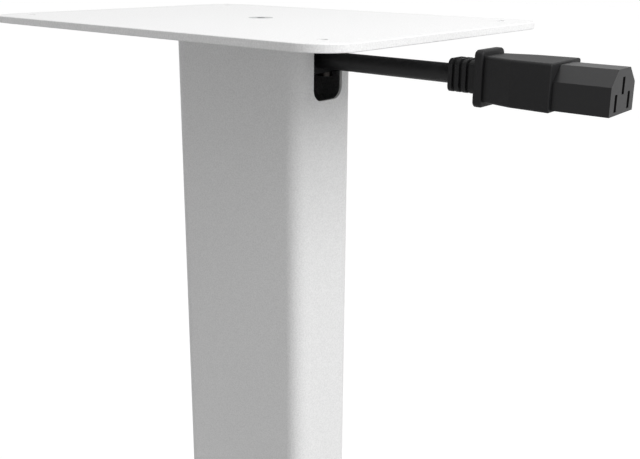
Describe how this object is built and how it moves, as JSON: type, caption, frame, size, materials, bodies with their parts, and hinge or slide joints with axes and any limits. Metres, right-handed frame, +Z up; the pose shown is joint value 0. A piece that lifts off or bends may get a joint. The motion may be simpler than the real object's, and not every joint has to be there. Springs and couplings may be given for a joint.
{
  "type": "speaker stand",
  "caption": "Tall stand with a flat top plate on a rectangular column, a wide base on screw feet and a mains lead led through the column.",
  "frame": {"origin": "on the floor under the column's axis, at the middle of the base plate", "axes": "+Z up, -Y to the front where the speaker faces, +Y to the rear where the lead leaves"},
  "size_m": [0.2701, 0.5704, 0.7],
  "materials": {
    "white_powder_coat": "fine textured powder coat, matte",
    "zinc_steel": "zinc plated",
    "black_steel": "black oxide, oiled",
    "black_nylon": "moulded, matte",
    "black_pvc": "soft moulded, satin",
    "cord_sheath": "extruded, satin",
    "connector_plastic": "hard moulded, satin",
    "brass": "stamped strip",
    "nickel": "nickel plated",
    "sole_rubber": "matte"
  },
  "bodies": {
    "stand": {"top_plate": "white_powder_coat", "plate_screw": "zinc_steel", "plate_tabs": "white_powder_coat", "column": "white_powder_coat", "top_bracket": "zinc_steel", "weld_nut": "zinc_steel", "cord_saddle": "black_nylon", "cord_clamp": "black_nylon", "clamp_screws": "black_steel", "base_plate": "white_powder_coat", "base_screws": "zinc_steel", "bottom_bracket": "zinc_steel", "lock_nuts": "zinc_steel", "iec_overmould": "black_pvc", "iec_insert": "connector_plastic", "iec_contacts": "brass", "cord_inner": "cord_sheath", "cord_top": "cord_sheath", "cord_tail": "cord_sheath", "cord_coil": "cord_sheath", "cord_end": "cord_sheath", "plug_body": "black_pvc", "plug_pins": "nickel", "plug_earth_clips": "nickel"},
    "pad_front_left": {"foot_pad_front_left": "black_nylon", "foot_sole_front_left": "sole_rubber"},
    "stud_front_left": {"foot_stud_front_left": "zinc_steel"},
    "pad_front_right": {"foot_pad_front_right": "black_nylon", "foot_sole_front_right": "sole_rubber"},
    "stud_front_right": {"foot_stud_front_right": "zinc_steel"},
    "pad_rear_left": {"foot_pad_rear_left": "black_nylon", "foot_sole_rear_left": "sole_rubber"},
    "stud_rear_left": {"foot_stud_rear_left": "zinc_steel"},
    "pad_rear_right": {"foot_pad_rear_right": "black_nylon", "foot_sole_rear_right": "sole_rubber"},
    "stud_rear_right": {"foot_stud_rear_right": "zinc_steel"}
  },
  "joints": [
    {"name": "foot_front_left_travel", "type": "slide", "parent": "stand", "child": "pad_front_left", "axis": [0, 0, -1], "range_m": [0, 0.006]},
    {"name": "foot_front_left_turn", "type": "hinge", "parent": "pad_front_left", "child": "stud_front_left", "pos_m": [0.103, -0.138, 0.0131], "axis": [0, 0, -1], "range_deg": [0, 1728]},
    {"name": "foot_front_right_travel", "type": "slide", "parent": "stand", "child": "pad_front_right", "axis": [0, 0, -1], "range_m": [0, 0.006]},
    {"name": "foot_front_right_turn", "type": "hinge", "parent": "pad_front_right", "child": "stud_front_right", "pos_m": [-0.103, -0.138, 0.0131], "axis": [0, 0, -1], "range_deg": [0, 1728]},
    {"name": "foot_rear_left_travel", "type": "slide", "parent": "stand", "child": "pad_rear_left", "axis": [0, 0, -1], "range_m": [0, 0.006]},
    {"name": "foot_rear_left_turn", "type": "hinge", "parent": "pad_rear_left", "child": "stud_rear_left", "pos_m": [0.103, 0.138, 0.0131], "axis": [0, 0, -1], "range_deg": [0, 1728]},
    {"name": "foot_rear_right_travel", "type": "slide", "parent": "stand", "child": "pad_rear_right", "axis": [0, 0, -1], "range_m": [0, 0.006]},
    {"name": "foot_rear_right_turn", "type": "hinge", "parent": "pad_rear_right", "child": "stud_rear_right", "pos_m": [-0.103, 0.138, 0.0131], "axis": [0, 0, -1], "range_deg": [0, 1728]}
  ],
  "couplings": [
    {"joint": "foot_front_left_travel", "follows": "foot_front_left_turn", "m_per_rad": 0.00019894},
    {"joint": "foot_front_right_travel", "follows": "foot_front_right_turn", "m_per_rad": 0.00019894},
    {"joint": "foot_rear_left_travel", "follows": "foot_rear_left_turn", "m_per_rad": 0.00019894},
    {"joint": "foot_rear_right_travel", "follows": "foot_rear_right_turn", "m_per_rad": 0.00019894}
  ]
}
